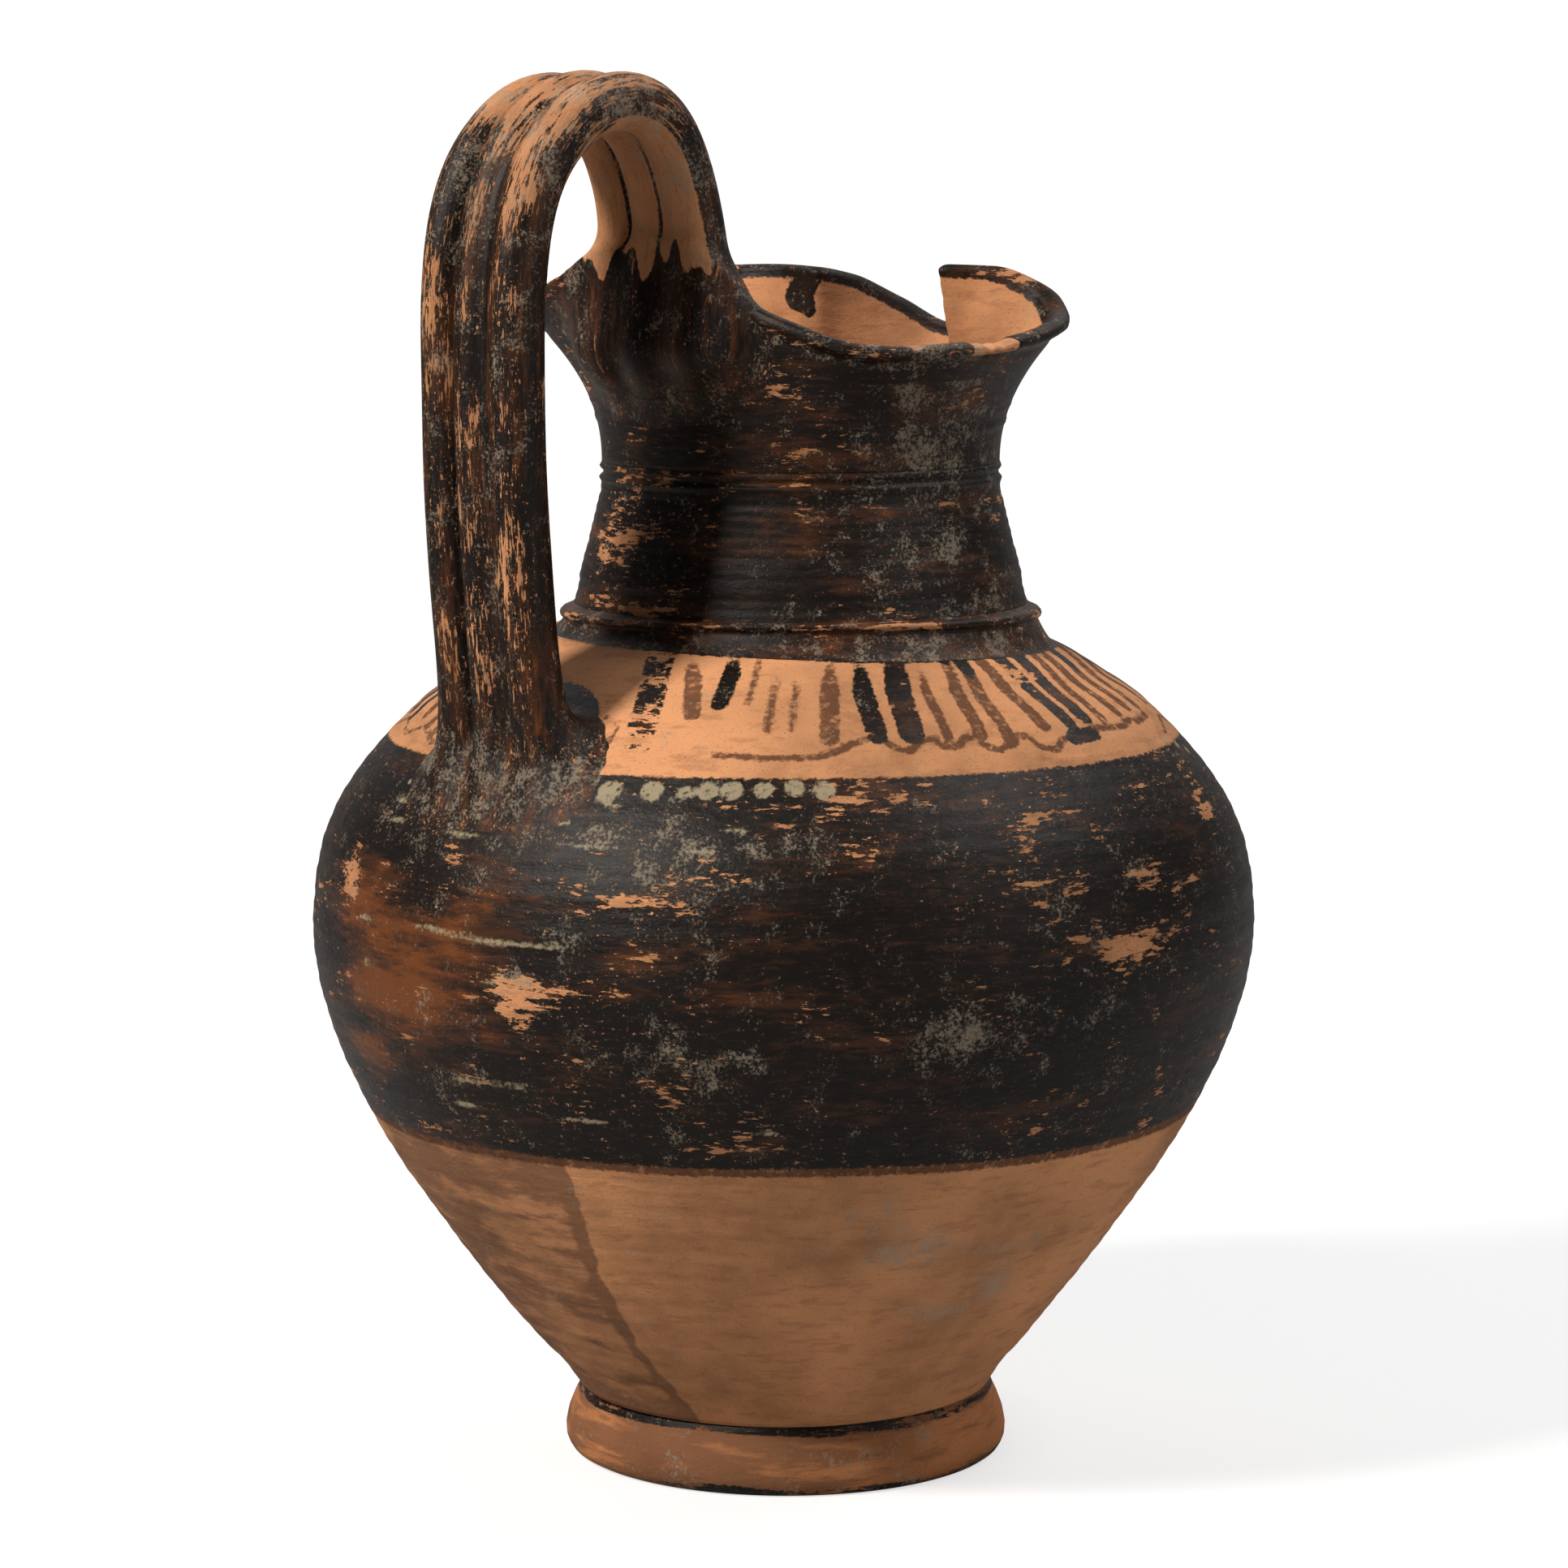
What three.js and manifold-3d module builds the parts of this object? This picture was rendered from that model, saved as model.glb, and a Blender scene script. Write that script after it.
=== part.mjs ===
// Trefoil-mouthed clay jug (oinochoe) with a high handle of three rolled rods.
// Millimetres, +Z up. Origin: centre of the foot on the standing surface.
// The handle is at -X, the spout at about +X.
import * as THREE from 'three';
import { mergeVertices } from 'three/addons/utils/BufferGeometryUtils.js';
import Module from 'manifold-3d';

// ---- driving dimensions (mm) -------------------------------------------------
const GAP = 0.3;                 // slip joint between luted clay pieces
const WALL = 5.0;                // wall of the thrown body
const FOOT_H = 12.8;             // height of the ring foot
const FOOT_R = 43.1;             // widest radius of the foot
const NECK_X = 2.2, NECK_Y = -2.3; // the neck was set a little off the body axis
const SHOULDER_TOP = 160.2;      // where the shoulder ends
const COLLAR_TOP = 165.4;        // top of the ridge round the foot of the neck
const NECK_TOP = 192.8;          // joint between lower neck and mouth
const ROD_PITCH = 8.6;           // spacing of the handle rods
const ROD_HW = 4.15;             // half width of one rod
const ROD_HT = 5.6;              // half thickness of one rod
const SEG = 48;                  // facets round the thrown pieces
const MOUTH_SEG = 72;            // facets round the trefoil mouth

// outer profile of the body: [radius, height]
const BODY_OUT = [
  [40.2, FOOT_H + GAP], [43.5, 18], [48.8, 24], [55.2, 32], [61.3, 40], [68.4, 50],
  [75.2, 60], [81.9, 72], [87.1, 84], [90.3, 96], [91.1, 104], [90.6, 112], [89.1, 120],
  [85.8, 128], [80.3, 136], [74.9, 142], [68.5, 148], [61.0, 153], [54.3, 157],
  [49.8, 159.0], [47.0, SHOULDER_TOP],
];
// neck radius against height
const NECK_OUT = [
  [43.6, COLLAR_TOP + GAP], [42.8, 169], [42.1, 173], [40.8, 178], [39.3, 184], [38.3, 189],
  [38.2, NECK_TOP],
];
// rim of the mouth: [azimuth deg, radius from the neck axis, height]
const RIM = [
  [-180, 36.8, 230.5], [-170, 36.0, 229.0], [-159, 36.4, 226.9], [-150, 40.0, 222.6],
  [-138, 43.0, 219.1], [-125, 46.0, 215.9], [-114, 46.8, 215.1], [-97, 47.2, 215.5],
  [-78, 46.8, 216.1], [-60, 49.2, 217.8], [-47, 51.0, 220.0], [-41, 49.8, 223.4],
  [-37, 45.7, 226.4], [-32.6, 40.3, 228.4], [-25.5, 32.6, 228.7], [-16, 45.5, 220.9],
  [-6, 55.5, 216.4], [4.8, 59.4, 215.2], [10, 55.5, 216.4], [17, 47.9, 221.4],
  [26, 38.7, 226.1], [36, 32.6, 227.7], [50, 40.3, 228.1], [61, 46.0, 227.8],
  [81, 48.4, 225.3], [105, 51.0, 221.2], [127.5, 52.0, 219.9], [142, 50.4, 224.6],
  [156, 46.4, 228.7], [166, 42.6, 230.2],
];
// centre line of the handle: [distance from the body axis, height]
const HANDLE = [
  [74.3, 147.0], [75.8, 158], [77.4, 175], [78.7, 198], [79.0, 221], [77.6, 236],
  [74.0, 247], [67.5, 255], [59.5, 260], [51.0, 261.2], [43.5, 258.6], [38.6, 253],
  [35.4, 245.5], [33.8, 239], [33.2, 234.0],
];

// ---- helpers -----------------------------------------------------------------
const wasm = await Module();
wasm.setup();

// weld a geometry to bare positions, facing out
function weld(g) {
  g.deleteAttribute('normal');
  g.deleteAttribute('uv');
  let m = mergeVertices(g, 1e-4);
  const p = m.attributes.position, ix = m.index.array, keep = [];
  let vol = 0;
  const a = new THREE.Vector3(), b = new THREE.Vector3(), c = new THREE.Vector3();
  for (let i = 0; i < ix.length; i += 3) {
    if (ix[i] === ix[i + 1] || ix[i + 1] === ix[i + 2] || ix[i] === ix[i + 2]) continue;
    keep.push(ix[i], ix[i + 1], ix[i + 2]);
    a.fromBufferAttribute(p, ix[i]); b.fromBufferAttribute(p, ix[i + 1]); c.fromBufferAttribute(p, ix[i + 2]);
    vol += a.dot(b.cross(c)) / 6;
  }
  if (vol < 0) for (let i = 0; i < keep.length; i += 3) [keep[i + 1], keep[i + 2]] = [keep[i + 2], keep[i + 1]];
  m.setIndex(keep);
  return m;
}
function toSolid(g) {
  return new wasm.Manifold(new wasm.Mesh({
    numProp: 3,
    vertProperties: new Float32Array(g.attributes.position.array),
    triVerts: new Uint32Array(g.index.array),
  }));
}
function toGeometry(s) {
  const m = s.getMesh(), g = new THREE.BufferGeometry();
  g.setAttribute('position', new THREE.BufferAttribute(new Float32Array(m.vertProperties), 3));
  g.setIndex([...m.triVerts]);
  return g;
}
// revolve a [radius, height] profile about +Z
function lathe(profile, seg = SEG, cx = 0, cy = 0) {
  const g = new THREE.LatheGeometry(profile.map(([r, z]) => new THREE.Vector2(r, z)), seg);
  g.rotateX(Math.PI / 2);
  g.translate(cx, cy, 0);
  return weld(g);
}
// smooth periodic value of the rim at an azimuth
function rimAt(deg, k) {
  const n = RIM.length;
  const x = (i) => RIM[((i % n) + n) % n][0] + 360 * Math.floor(i / n);
  const v = (i) => RIM[((i % n) + n) % n][k];
  let i = 0;
  while (i < n - 1 && x(i + 1) <= deg) i++;
  const h = x(i + 1) - x(i), t = (deg - x(i)) / h;
  const slope = (j) => {
    const d0 = (v(j) - v(j - 1)) / (x(j) - x(j - 1)), d1 = (v(j + 1) - v(j)) / (x(j + 1) - x(j));
    return d0 * d1 <= 0 ? 0 : 2 * d0 * d1 / (d0 + d1);
  };
  const m0 = slope(i) * h, m1 = slope(i + 1) * h;
  return (2 * t ** 3 - 3 * t ** 2 + 1) * v(i) + (t ** 3 - 2 * t ** 2 + t) * m0
    + (-2 * t ** 3 + 3 * t ** 2) * v(i + 1) + (t ** 3 - t ** 2) * m1;
}
const NECK_R = NECK_OUT[NECK_OUT.length - 1][0];
// a revolved mesh whose every column is bent to the rim; rows are [s, inset, lift],
// or [s, null, height] for a point on the neck axis
function mouth(rows) {
  const g = new THREE.LatheGeometry(rows.map((q, j) => new THREE.Vector2(1 + j, j)), MOUTH_SEG);
  const p = g.attributes.position, z0 = NECK_TOP + GAP, n = rows.length;
  for (let i = 0; i <= MOUTH_SEG; i++) {
    const th = ((i % MOUTH_SEG) / MOUTH_SEG) * 360 - 180;
    const R = rimAt(th, 1), Z = rimAt(th, 2);
    rows.forEach(([s, inset, lift], j) => {
      const r = inset === null ? 0 : NECK_R + (R - NECK_R) * Math.pow(s, 2.1) - inset;
      const a = th * Math.PI / 180;
      const z = inset === null ? lift : z0 + (Z - z0) * s + lift;
      p.setXYZ(i * n + j, NECK_X + r * Math.cos(a), NECK_Y + r * Math.sin(a), z);
    });
  }
  return weld(g);
}
// one rod or the whole strap: a section swept along the handle line
function sweep(section, offset, extra = 0) {
  const pts = HANDLE.map(([r, z]) => new THREE.Vector3(-r, offset, z));
  const n = pts.length;
  if (extra) {
    const d0 = pts[0].clone().sub(pts[1]).setLength(extra), d1 = pts[n - 1].clone().sub(pts[n - 2]).setLength(extra);
    pts[0].add(d0); pts[n - 1].add(d1);
  }
  const path = new THREE.CatmullRomCurve3(pts, false, 'centripetal');
  const shape = new THREE.Shape(section.map(([x, y]) => new THREE.Vector2(x, y)));
  return weld(new THREE.ExtrudeGeometry(shape, { steps: 30, extrudePath: path, bevelEnabled: false }));
}
function blob(cx, cy, cz, ax, ay, az, tilt) {
  const g = new THREE.SphereGeometry(1, 24, 14);
  g.scale(ax, ay, az);
  g.rotateY(tilt);
  g.translate(cx, cy, cz);
  return weld(g);
}

// ---- thrown pieces -----------------------------------------------------------
// ring foot: hollow underside, sloping seat for the body
const foot = lathe([
  [36.0, 0], [41.4, 0], [42.8, 1.4], [FOOT_R, 3.6], [42.2, 8], [40.6, 11], [40.2, FOOT_H],
  [34.0, FOOT_H], [33.2, 8], [34.6, 2], [36.0, 0],
]);
// body: closed floor, hollow belly, open shoulder
const inside = BODY_OUT.slice(2).map(([r, z]) => [r - (z > 140 ? WALL * 1.25 : WALL), z]);
const bodyProfile = [[0, 10.5], [30.0, 10.5], [33.0, FOOT_H + GAP], ...BODY_OUT,
  [39.0, SHOULDER_TOP], [42.5, 157.0], ...inside.filter(([r, z]) => z < 155 && z > 28).reverse(), [38, 20], [24, 17], [0, 16.5]];
const body = lathe(bodyProfile);
const collar = lathe([
  [39.2, SHOULDER_TOP + GAP], [45.0, SHOULDER_TOP + GAP], [45.9, 162.2], [45.4, 164.2], [44.3, COLLAR_TOP],
  [38.4, COLLAR_TOP], [39.2, SHOULDER_TOP + GAP],
], SEG, NECK_X, NECK_Y);
const neckIn = NECK_OUT.map(([r, z]) => [r - WALL, z]).reverse();
const neck = lathe([...NECK_OUT, ...neckIn, NECK_OUT[0]], SEG, NECK_X, NECK_Y);

// trefoil mouth: flaring wall, thick rolled lip, three lobes between two pinches
const mouthRows = [
  [0, 0, 0], [0.2, 0, 0], [0.4, 0, 0], [0.58, 0, 0], [0.74, 0, 0], [0.88, 0, 0], [0.95, -0.5, 0], [1.0, -0.5, 0],
  [1.0, 1.2, 1.3], [1.0, 3.1, 1.2], [1.0, 4.0, 0], [0.9, 4.6, 0], [0.7, 5.0, 0], [0.45, 5.0, 0], [0.2, 5.0, 0], [0, 5.0, 0],
  [0, 0, 0],
];
const mouthGeo = mouth(mouthRows);
// the same mouth filled in and grown a little, to cut what sits against it
const mouthFill = toSolid(mouth([
  [0, null, NECK_TOP - 6], [0, -GAP, -6], [0, -GAP, 0], [0.2, -GAP, 0], [0.4, -GAP, 0], [0.58, -GAP, 0], [0.74, -GAP, 0],
  [0.88, -GAP, 0], [0.95, -0.5 - GAP, 0], [1.0, -0.5 - GAP, GAP], [1.0, 1.2, 1.3 + GAP], [1.0, 3.1, 1.2 + GAP], [1.0, 6, 1.2 + GAP], [1.0, null, 229],
]));

// ---- handle ------------------------------------------------------------------
function rodSection(left, right) {
  return [
    [-left, -2.1], [-left * 0.68, -4.5], [0, -ROD_HT], [right * 0.68, -4.5], [right, -2.1],
    [right, 2.1], [right * 0.68, 4.5], [0, ROD_HT], [-left * 0.68, 4.5], [-left, 2.1],
  ];
}
const bodyFill = toSolid(lathe([[0, 10], [40, 12], ...BODY_OUT.map(([r, z]) => [r + GAP + 0.1, z + 0.1]), [0, SHOULDER_TOP + 0.4]]));
const strapW = ROD_PITCH + 5.0 + GAP + 0.1, strapT = ROD_HT + GAP + 0.1;
const strapFill = toSolid(sweep([
  [-strapW, -2.6], [-strapW + 2, -strapT], [strapW - 2, -strapT], [strapW, -2.6],
  [strapW, 2.6], [strapW - 2, strapT], [-strapW + 2, strapT], [-strapW, 2.6],
], 0, 0.4));
const rod = (off, l, r) => toGeometry(toSolid(sweep(rodSection(l, r), off)).subtract(bodyFill).subtract(mouthFill));
const rodMiddle = rod(0, ROD_HW, ROD_HW);
const rodLeft = rod(ROD_PITCH, ROD_HW, ROD_HW);
const rodRight = rod(-ROD_PITCH, ROD_HW, ROD_HW);
const lowerRoot = toGeometry(toSolid(blob(-73.5, 0, 143.0, 9.5, 18, 15.5, -0.78)).subtract(bodyFill).subtract(strapFill));
const upperRoot = toGeometry(toSolid(blob(-36.0, -1, 223.5, 9.6, 19, 14.5, 0)).subtract(mouthFill).subtract(strapFill));

// ---- scene graph -------------------------------------------------------------
const jug = new THREE.Group();
function add(name, geometry, color, roughness) {
  const m = new THREE.Mesh(geometry, new THREE.MeshStandardMaterial({ color, roughness, metalness: 0 }));
  m.name = name;
  jug.add(m);
}
add('foot_ring', foot, 0xb5754a, 0.8);
add('body', body, 0x2a1f1a, 0.55);
add('neck_collar', collar, 0x2b1c16, 0.6);
add('neck', neck, 0x231a17, 0.55);
add('trefoil_mouth', mouthGeo, 0x2c201a, 0.55);
add('handle_rod_left', rodLeft, 0x2a1d17, 0.55);
add('handle_rod_middle', rodMiddle, 0x2d1f18, 0.55);
add('handle_rod_right', rodRight, 0x2a1d17, 0.55);
add('handle_lower_root', lowerRoot, 0x33251d, 0.6);
add('handle_upper_root', upperRoot, 0x33251d, 0.6);

export default jug;
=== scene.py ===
import math
import bpy
import bmesh
import numpy as np
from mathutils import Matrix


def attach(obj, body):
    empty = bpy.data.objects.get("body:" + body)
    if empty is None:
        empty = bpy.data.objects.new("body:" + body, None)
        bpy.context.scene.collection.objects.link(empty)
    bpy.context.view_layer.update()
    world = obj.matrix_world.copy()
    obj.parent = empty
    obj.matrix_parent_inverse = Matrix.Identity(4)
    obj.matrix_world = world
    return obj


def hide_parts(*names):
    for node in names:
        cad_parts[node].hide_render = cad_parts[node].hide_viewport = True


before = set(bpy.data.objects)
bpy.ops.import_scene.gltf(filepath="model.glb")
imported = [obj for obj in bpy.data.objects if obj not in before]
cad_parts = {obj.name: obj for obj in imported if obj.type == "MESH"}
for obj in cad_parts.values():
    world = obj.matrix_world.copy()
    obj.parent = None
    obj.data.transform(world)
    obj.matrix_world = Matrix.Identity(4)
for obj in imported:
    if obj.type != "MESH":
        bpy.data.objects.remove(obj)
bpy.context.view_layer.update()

# ---------------------------------------------------------------- dimensions, mm
FOOT_H = 12.8
NECK_C = np.array([2.2, -2.3])
NECK_TOP = 193.0
COLLAR_TOP = 165.4
SHOULDER_TOP = 160.2
BODY_OUT = np.array([
    [40.2, 13.1], [43.5, 18], [48.8, 24], [55.2, 32], [61.3, 40], [68.4, 50], [75.2, 60], [81.9, 72],
    [87.1, 84], [90.3, 96], [91.1, 104], [90.6, 112], [89.1, 120], [85.8, 128], [80.3, 136], [74.9, 142],
    [68.5, 148], [61.0, 153], [54.3, 157], [49.8, 159.0], [46.4, 160.6]])
NECK_OUT = np.array([[43.9, 165.2], [42.8, 169], [42.1, 173], [40.8, 178], [39.3, 184], [38.3, 189], [38.2, 193.0]])
RIM = np.array([
    [-180, 36.8, 230.5], [-170, 36.0, 229.0], [-159, 36.4, 226.9], [-150, 40.0, 222.6], [-138, 43.0, 219.1],
    [-125, 46.0, 215.9], [-114, 46.8, 215.1], [-97, 47.2, 215.5], [-78, 46.8, 216.1], [-60, 49.2, 217.8],
    [-47, 51.0, 220.0], [-41, 49.8, 223.4], [-37, 45.7, 226.4], [-32.6, 40.3, 228.4], [-25.5, 32.6, 228.7],
    [-16, 45.5, 220.9], [-6, 55.5, 216.4], [4.8, 59.4, 215.2], [10, 55.5, 216.4], [17, 47.9, 221.4],
    [26, 38.7, 226.1], [36, 32.6, 227.7], [50, 40.3, 228.1], [61, 46.0, 227.8], [81, 48.4, 225.3],
    [105, 51.0, 221.2], [127.5, 52.0, 219.9], [142, 50.4, 224.6], [156, 46.4, 228.7], [166, 42.6, 230.2]])
HANDLE = np.array([
    [73.2, 136], [74.3, 147.0], [75.8, 158], [77.4, 175], [78.7, 198], [79.0, 221], [77.6, 236], [74.0, 247],
    [67.5, 255], [59.5, 260], [51.0, 261.2], [43.5, 258.6], [38.6, 253], [35.4, 245.5], [33.8, 239],
    [33.4, 234.0], [34.6, 226.0], [36.0, 216.0]])


def hermite(xk, yk, x):
    """Monotone cubic through (xk, yk)."""
    xk = np.asarray(xk, float); yk = np.asarray(yk, float)
    h = np.diff(xk); d = np.diff(yk) / h
    m = np.zeros_like(yk)
    m[0], m[-1] = d[0], d[-1]
    s = d[:-1] * d[1:]
    m[1:-1] = np.where(s > 0, 2 * s / np.where(d[:-1] + d[1:] == 0, 1, d[:-1] + d[1:]), 0)
    i = np.clip(np.searchsorted(xk, x, side="right") - 1, 0, len(h) - 1)
    t = (x - xk[i]) / h[i]
    return ((2 * t**3 - 3 * t**2 + 1) * yk[i] + (t**3 - 2 * t**2 + t) * m[i] * h[i]
            + (-2 * t**3 + 3 * t**2) * yk[i + 1] + (t**3 - t**2) * m[i + 1] * h[i])


def rim_at(deg, k):
    x = np.concatenate([RIM[:, 0] - 360, RIM[:, 0], RIM[:, 0] + 360])
    v = np.tile(RIM[:, k], 3)
    return hermite(x, v, deg)


def body_r(z):
    return hermite(BODY_OUT[:, 1], BODY_OUT[:, 0], np.clip(z, 13.1, 160.6))


def wob(a, seed, n=5):
    """A small smooth periodic wobble in azimuth a (radians), about +-1."""
    rs = np.random.RandomState(seed)
    out = np.zeros_like(np.asarray(a, float))
    for k in range(1, n + 1):
        out = out + rs.uniform(-1, 1) * np.sin(k * a + rs.uniform(0, 6.28)) / k
    return out


# ------------------------------------------------------------------------ camera
CAM_F = 5900.0
PITCH = math.radians(7.6)
AZ = math.radians(-47.0)
CAM = np.array([-0.7314 * 920.0, -0.6820 * 920.0, 253.0])
FWD = np.array([0.7314 * math.cos(PITCH), 0.6820 * math.cos(PITCH), -math.sin(PITCH)])
RIGHT = np.array([0.6820, -0.7314, 0.0])
UP = np.cross(RIGHT, FWD)


def pix(x, y):
    """The point on the belly or shoulder that pixel (x, y) of a 1932 frame looks at."""
    d = FWD + RIGHT * ((x - 966) / CAM_F) - UP * ((y - 966) / CAM_F)
    t = np.linspace(780, 1000, 2400)
    p = CAM[None] + d[None] * t[:, None]
    r = np.hypot(p[:, 0], p[:, 1])
    inside = (p[:, 2] > 13.1) & (p[:, 2] < 160.6) & (r < body_r(p[:, 2]))
    if not inside.any():
        return None
    return p[np.argmax(inside)]


def pix_line(pts):
    out = [pix(*q) for q in pts]
    return [q for q in out if q is not None]


def seg_dist(P, line):
    """Distance of points P from a polyline, mm."""
    best = np.full(len(P), 1e9)
    for a, b in zip(line[:-1], line[1:]):
        ab = b - a
        L = float(ab @ ab) + 1e-9
        t = np.clip(((P - a) @ ab) / L, 0, 1)
        best = np.minimum(best, np.linalg.norm(P - a - t[:, None] * ab, axis=1))
    return best


# ------------------------------------------------------------------ mesh helpers
def mesh_piece(name, V, F, attrs, mat, nodes):
    me = bpy.data.meshes.new(name)
    me.from_pydata((V / 1000.0).tolist(), [], F)
    me.validate()
    for key, val in attrs.items():
        if val.ndim == 2:
            a = me.attributes.new(key, "FLOAT_VECTOR", "POINT")
            a.data.foreach_set("vector", val.astype(np.float32).ravel())
        else:
            a = me.attributes.new(key, "FLOAT", "POINT")
            a.data.foreach_set("value", val.astype(np.float32))
    bm = bmesh.new(); bm.from_mesh(me)
    bmesh.ops.remove_doubles(bm, verts=bm.verts, dist=2e-6)
    bmesh.ops.recalc_face_normals(bm, faces=bm.faces)
    bm.to_mesh(me); bm.free()
    me.polygons.foreach_set("use_smooth", [True] * len(me.polygons))
    ob = bpy.data.objects.new(name, me)
    bpy.context.collection.objects.link(ob)
    me.materials.append(mat)
    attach(ob, "root")
    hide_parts(*nodes)
    return ob


def revolve_faces(nu, nv, closed_v):
    i = np.arange(nu)[:, None]; j = np.arange(nv if closed_v else nv - 1)[None, :]
    i2 = (i + 1) % nu; j2 = (j + 1) % nv
    f = np.stack([i * nv + j, i2 * nv + j, i2 * nv + j2, i * nv + j2], -1).reshape(-1, 4)
    return f.tolist()


def resample(profile, step):
    p = np.asarray(profile, float)
    d = np.r_[0, np.cumsum(np.hypot(*np.diff(p, axis=0).T))]
    n = max(2, int(round(d[-1] / step)) + 1)
    s = np.linspace(0, d[-1], n)
    return np.stack([np.interp(s, d, p[:, 0]), np.interp(s, d, p[:, 1])], 1)


def fields(V, **kw):
    n = len(V)
    base = dict(slip=np.full(n, -10.0), brown=np.full(n, -10.0), cream=np.full(n, -10.0), wear=np.zeros(n),
                red=np.zeros(n), crust=np.zeros(n), wash=np.zeros(n))
    base["flow"] = V * np.array([0.22, 0.22, 1.0])
    base.update(kw)
    return base


def bump1(d, w):
    """1 at d = 0 falling smoothly to 0 at d = w."""
    t = np.clip(1 - d / w, 0, 1)
    return t * t * (3 - 2 * t)


# --------------------------------------------------------------------- materials
def clay(name, clay_col=(0.52, 0.235, 0.103), flake=0.0, speck=0.0, crust=0.0, streak=1.0):
    m = bpy.data.materials.new(name)
    m.use_nodes = True
    nt = m.node_tree
    N, L = nt.nodes, nt.links
    N.clear()
    out = N.new("ShaderNodeOutputMaterial")
    bs = N.new("ShaderNodeBsdfPrincipled")
    L.new(bs.outputs[0], out.inputs[0])
    bs.inputs["Specular IOR Level"].default_value = 0.22
    tc = N.new("ShaderNodeTexCoord")
    mm = N.new("ShaderNodeVectorMath"); mm.operation = "SCALE"; mm.inputs["Scale"].default_value = 1000.0
    L.new(tc.outputs["Object"], mm.inputs[0])

    def attr(key, vec=False):
        a = N.new("ShaderNodeAttribute"); a.attribute_name = key
        return a.outputs["Vector" if vec else "Fac"]

    def noise(vec, scale, detail=4.0, rough=0.55, offset=0.0):
        if offset:
            v = N.new("ShaderNodeVectorMath"); v.operation = "ADD"; v.inputs[1].default_value = (offset, offset * 1.7, -offset)
            L.new(vec, v.inputs[0]); vec = v.outputs[0]
        n = N.new("ShaderNodeTexNoise")
        n.inputs["Scale"].default_value = scale
        n.inputs["Detail"].default_value = detail
        n.inputs["Roughness"].default_value = rough
        L.new(vec, n.inputs["Vector"])
        return n.outputs["Fac"]

    def math_(op, a, b=None, c=None, clamp=False):
        n = N.new("ShaderNodeMath"); n.operation = op; n.use_clamp = clamp
        for i, v in enumerate((a, b, c)):
            if v is None:
                continue
            if isinstance(v, (int, float)):
                n.inputs[i].default_value = v
            else:
                L.new(v, n.inputs[i])
        return n.outputs[0]

    def step(v, lo, hi):
        n = N.new("ShaderNodeMapRange"); n.interpolation_type = "SMOOTHSTEP"
        n.inputs["From Min"].default_value = lo; n.inputs["From Max"].default_value = hi
        L.new(v, n.inputs["Value"])
        return n.outputs["Result"]

    def mix(fac, a, b):
        n = N.new("ShaderNodeMix"); n.data_type = "RGBA"
        L.new(fac, n.inputs[0])
        for i, v in ((6, a), (7, b)):
            if isinstance(v, tuple):
                n.inputs[i].default_value = (*v, 1)
            else:
                L.new(v, n.inputs[i])
        return n.outputs[2]

    def mixf(fac, a, b):
        n = N.new("ShaderNodeMix"); n.data_type = "FLOAT"
        L.new(fac, n.inputs[0])
        for i, v in ((2, a), (3, b)):
            if isinstance(v, (int, float)):
                n.inputs[i].default_value = v
            else:
                L.new(v, n.inputs[i])
        return n.outputs[0]

    P = mm.outputs[0]
    flow = attr("flow", True)
    big = noise(P, 0.022, 3, 0.5, 3.0)
    mid = noise(P, 0.11, 5, 0.6, 11.0)
    fine = noise(P, 0.9, 4, 0.6, 5.0)
    grit = noise(P, 3.2, 2, 0.5, 9.0)
    st1 = noise(flow, 0.16, 7, 0.62, 21.0)
    st2 = noise(flow, 0.55, 6, 0.68, 33.0)
    st3 = noise(flow, 1.5, 3, 0.6, 41.0)
    # bare clay
    dark = tuple(c * 0.72 for c in clay_col); light = tuple(min(1, c * 1.22) for c in clay_col)
    c = mix(step(mid, 0.3, 0.7), dark, clay_col)
    c = mix(step(big, 0.42, 0.66), c, light)
    c = mix(math_("MULTIPLY", step(st2, 0.50, 0.64), 0.45), c, (0.29, 0.12, 0.052))
    c = mix(math_("MULTIPLY", step(grit, 0.62, 0.70), 0.6), c, (0.11, 0.05, 0.03))
    # thin diluted wash
    wash_a = attr("wash")
    wash = math_("MULTIPLY", step(math_("ADD", wash_a, math_("MULTIPLY", math_("SUBTRACT", st1, 0.5), 1.6)), 0.35, 0.6), 0.7)
    c = mix(wash, c, (0.13, 0.058, 0.030))
    # brown strokes
    edge = math_("MULTIPLY", math_("SUBTRACT", fine, 0.5), 1.5)
    br = math_("MULTIPLY", step(math_("ADD", attr("brown"), edge), -0.2, 0.35), step(noise(P, 0.5, 5, 0.7, 55.0), 0.24, 0.50))
    c = mix(math_("MULTIPLY", br, 0.88), c, (0.075, 0.026, 0.011))
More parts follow.
